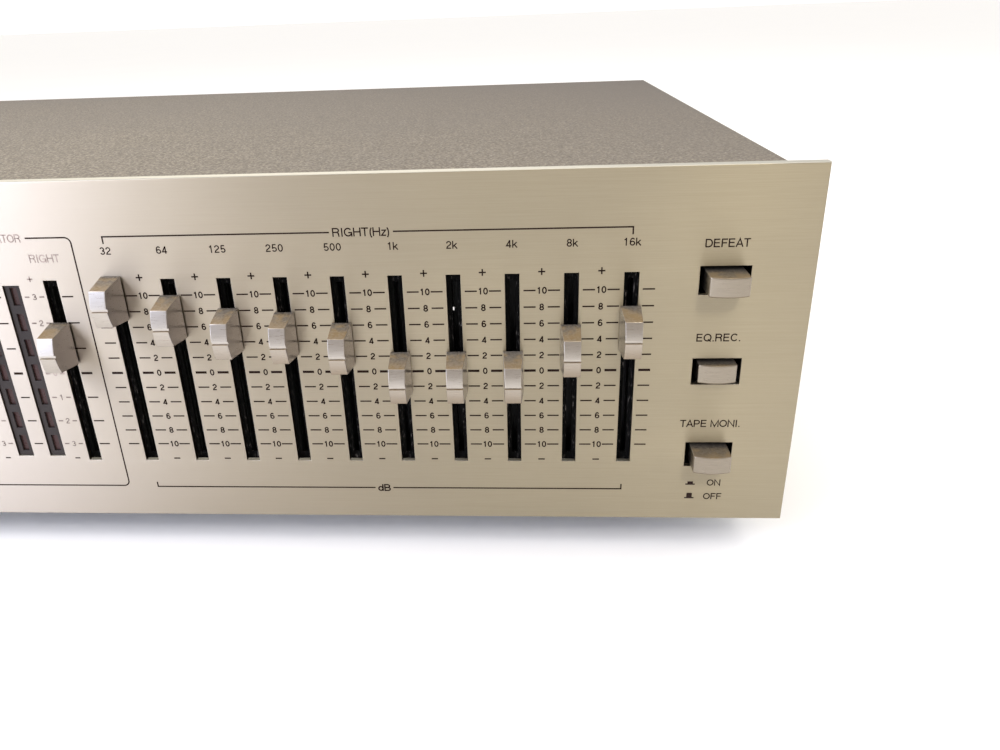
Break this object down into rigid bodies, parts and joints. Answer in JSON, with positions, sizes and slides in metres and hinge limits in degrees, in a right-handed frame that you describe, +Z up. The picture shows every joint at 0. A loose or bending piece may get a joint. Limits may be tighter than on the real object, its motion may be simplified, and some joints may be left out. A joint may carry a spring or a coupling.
{
  "type": "graphic equalizer",
  "caption": "Full-width hi-fi graphic equalizer: brushed aluminium front plate with two banks of vertical sliders, level sliders with lamp bars, push buttons and a painted steel case.",
  "frame": {"origin": "on the table under the middle of the bounding box", "axes": "+X to the right seen from the front, -Y out of the front plate, +Z up"},
  "size_m": [0.426, 0.272, 0.11],
  "materials": {
    "plate_aluminium": "fine horizontal brushing, champagne tint, satin",
    "knob_metal": "fine brushing with bright cut edges",
    "cover_paint": "fine grained grey-taupe paint, semi-matt",
    "zinc_steel": "zinc plated sheet",
    "black_felt": "short black fibres",
    "lens_plastic": "dark purple-brown tint",
    "board_laminate": "paper laminate",
    "black_plastic": "moulded",
    "foot_rubber": "moulded",
    "core_iron": "varnished laminations",
    "jack_metal": "nickel plated"
  },
  "bodies": {
    "chassis": {"front_panel": "plate_aluminium", "sub_panel": "zinc_steel", "left_dust_felt": "black_felt", "right_dust_felt": "black_felt", "level_dust_felt": "black_felt", "left_fader_bank": "board_laminate", "right_fader_bank": "board_laminate", "left_level_fader": "board_laminate", "right_level_fader": "board_laminate", "left_level_lens": "lens_plastic", "right_level_lens": "lens_plastic", "level_display_board": "board_laminate", "function_switch_bank": "black_plastic", "power_switch": "black_plastic", "top_cover": "cover_paint", "bottom_chassis": "zinc_steel", "rear_panel": "cover_paint", "tape_jacks": "jack_metal", "line_jacks": "jack_metal", "ac_inlet": "black_plastic", "fuse_holder": "black_plastic", "ground_terminal": "jack_metal", "equalizer_board": "board_laminate", "power_supply_board": "board_laminate", "transformer": "core_iron", "left_front_foot": "foot_rubber", "left_front_cover_screw": "zinc_steel", "left_rear_foot": "foot_rubber", "left_rear_cover_screw": "zinc_steel", "right_front_foot": "foot_rubber", "right_front_cover_screw": "zinc_steel", "right_rear_foot": "foot_rubber", "right_rear_cover_screw": "zinc_steel"},
    "left_32hz_slider": {"left_32hz_slider": "knob_metal"},
    "left_64hz_slider": {"left_64hz_slider": "knob_metal"},
    "left_125hz_slider": {"left_125hz_slider": "knob_metal"},
    "left_250hz_slider": {"left_250hz_slider": "knob_metal"},
    "left_500hz_slider": {"left_500hz_slider": "knob_metal"},
    "left_1khz_slider": {"left_1khz_slider": "knob_metal"},
    "left_2khz_slider": {"left_2khz_slider": "knob_metal"},
    "left_4khz_slider": {"left_4khz_slider": "knob_metal"},
    "left_8khz_slider": {"left_8khz_slider": "knob_metal"},
    "left_16khz_slider": {"left_16khz_slider": "knob_metal"},
    "left_level_slider": {"left_level_slider": "knob_metal"},
    "right_32hz_slider": {"right_32hz_slider": "knob_metal"},
    "right_64hz_slider": {"right_64hz_slider": "knob_metal"},
    "right_125hz_slider": {"right_125hz_slider": "knob_metal"},
    "right_250hz_slider": {"right_250hz_slider": "knob_metal"},
    "right_500hz_slider": {"right_500hz_slider": "knob_metal"},
    "right_1khz_slider": {"right_1khz_slider": "knob_metal"},
    "right_2khz_slider": {"right_2khz_slider": "knob_metal"},
    "right_4khz_slider": {"right_4khz_slider": "knob_metal"},
    "right_8khz_slider": {"right_8khz_slider": "knob_metal"},
    "right_16khz_slider": {"right_16khz_slider": "knob_metal"},
    "right_level_slider": {"right_level_slider": "knob_metal"},
    "defeat_button": {"defeat_button": "knob_metal"},
    "eq_record_button": {"eq_record_button": "knob_metal"},
    "tape_monitor_button": {"tape_monitor_button": "knob_metal"},
    "power_button": {"power_button": "knob_metal"}
  },
  "joints": [
    {"name": "left_32hz_slider_travel", "type": "slide", "parent": "chassis", "child": "left_32hz_slider", "axis": [0, 0, 1], "range_m": [-0.04478, 0.00022]},
    {"name": "left_64hz_slider_travel", "type": "slide", "parent": "chassis", "child": "left_64hz_slider", "axis": [0, 0, 1], "range_m": [-0.03938, 0.00562]},
    {"name": "left_125hz_slider_travel", "type": "slide", "parent": "chassis", "child": "left_125hz_slider", "axis": [0, 0, 1], "range_m": [-0.03555, 0.00945]},
    {"name": "left_250hz_slider_travel", "type": "slide", "parent": "chassis", "child": "left_250hz_slider", "axis": [0, 0, 1], "range_m": [-0.0342, 0.0108]},
    {"name": "left_500hz_slider_travel", "type": "slide", "parent": "chassis", "child": "left_500hz_slider", "axis": [0, 0, 1], "range_m": [-0.03105, 0.01395]},
    {"name": "left_1khz_slider_travel", "type": "slide", "parent": "chassis", "child": "left_1khz_slider", "axis": [0, 0, 1], "range_m": [-0.0225, 0.0225]},
    {"name": "left_2khz_slider_travel", "type": "slide", "parent": "chassis", "child": "left_2khz_slider", "axis": [0, 0, 1], "range_m": [-0.0225, 0.0225]},
    {"name": "left_4khz_slider_travel", "type": "slide", "parent": "chassis", "child": "left_4khz_slider", "axis": [0, 0, 1], "range_m": [-0.0225, 0.0225]},
    {"name": "left_8khz_slider_travel", "type": "slide", "parent": "chassis", "child": "left_8khz_slider", "axis": [0, 0, 1], "range_m": [-0.02993, 0.01507]},
    {"name": "left_16khz_slider_travel", "type": "slide", "parent": "chassis", "child": "left_16khz_slider", "axis": [0, 0, 1], "range_m": [-0.03488, 0.01013]},
    {"name": "left_level_slider_travel", "type": "slide", "parent": "chassis", "child": "left_level_slider", "axis": [0, 0, 1], "range_m": [-0.03195, 0.01305]},
    {"name": "right_32hz_slider_travel", "type": "slide", "parent": "chassis", "child": "right_32hz_slider", "axis": [0, 0, 1], "range_m": [-0.04478, 0.00022]},
    {"name": "right_64hz_slider_travel", "type": "slide", "parent": "chassis", "child": "right_64hz_slider", "axis": [0, 0, 1], "range_m": [-0.03938, 0.00562]},
    {"name": "right_125hz_slider_travel", "type": "slide", "parent": "chassis", "child": "right_125hz_slider", "axis": [0, 0, 1], "range_m": [-0.03555, 0.00945]},
    {"name": "right_250hz_slider_travel", "type": "slide", "parent": "chassis", "child": "right_250hz_slider", "axis": [0, 0, 1], "range_m": [-0.0342, 0.0108]},
    {"name": "right_500hz_slider_travel", "type": "slide", "parent": "chassis", "child": "right_500hz_slider", "axis": [0, 0, 1], "range_m": [-0.03105, 0.01395]},
    {"name": "right_1khz_slider_travel", "type": "slide", "parent": "chassis", "child": "right_1khz_slider", "axis": [0, 0, 1], "range_m": [-0.0225, 0.0225]},
    {"name": "right_2khz_slider_travel", "type": "slide", "parent": "chassis", "child": "right_2khz_slider", "axis": [0, 0, 1], "range_m": [-0.0225, 0.0225]},
    {"name": "right_4khz_slider_travel", "type": "slide", "parent": "chassis", "child": "right_4khz_slider", "axis": [0, 0, 1], "range_m": [-0.0225, 0.0225]},
    {"name": "right_8khz_slider_travel", "type": "slide", "parent": "chassis", "child": "right_8khz_slider", "axis": [0, 0, 1], "range_m": [-0.02993, 0.01507]},
    {"name": "right_16khz_slider_travel", "type": "slide", "parent": "chassis", "child": "right_16khz_slider", "axis": [0, 0, 1], "range_m": [-0.03488, 0.01013]},
    {"name": "right_level_slider_travel", "type": "slide", "parent": "chassis", "child": "right_level_slider", "axis": [0, 0, 1], "range_m": [-0.03195, 0.01305]},
    {"name": "defeat_button_push", "type": "slide", "parent": "chassis", "child": "defeat_button", "axis": [0, 1, 0], "range_m": [0, 0.0045], "stiffness_N_per_m": 250, "springref_m": -0.001},
    {"name": "eq_record_button_push", "type": "slide", "parent": "chassis", "child": "eq_record_button", "axis": [0, 1, 0], "range_m": [-0.0039, 0]},
    {"name": "tape_monitor_button_push", "type": "slide", "parent": "chassis", "child": "tape_monitor_button", "axis": [0, 1, 0], "range_m": [0, 0.0045], "stiffness_N_per_m": 250, "springref_m": -0.001},
    {"name": "power_button_push", "type": "slide", "parent": "chassis", "child": "power_button", "axis": [0, 1, 0], "range_m": [0, 0.0045], "stiffness_N_per_m": 250, "springref_m": -0.001}
  ]
}
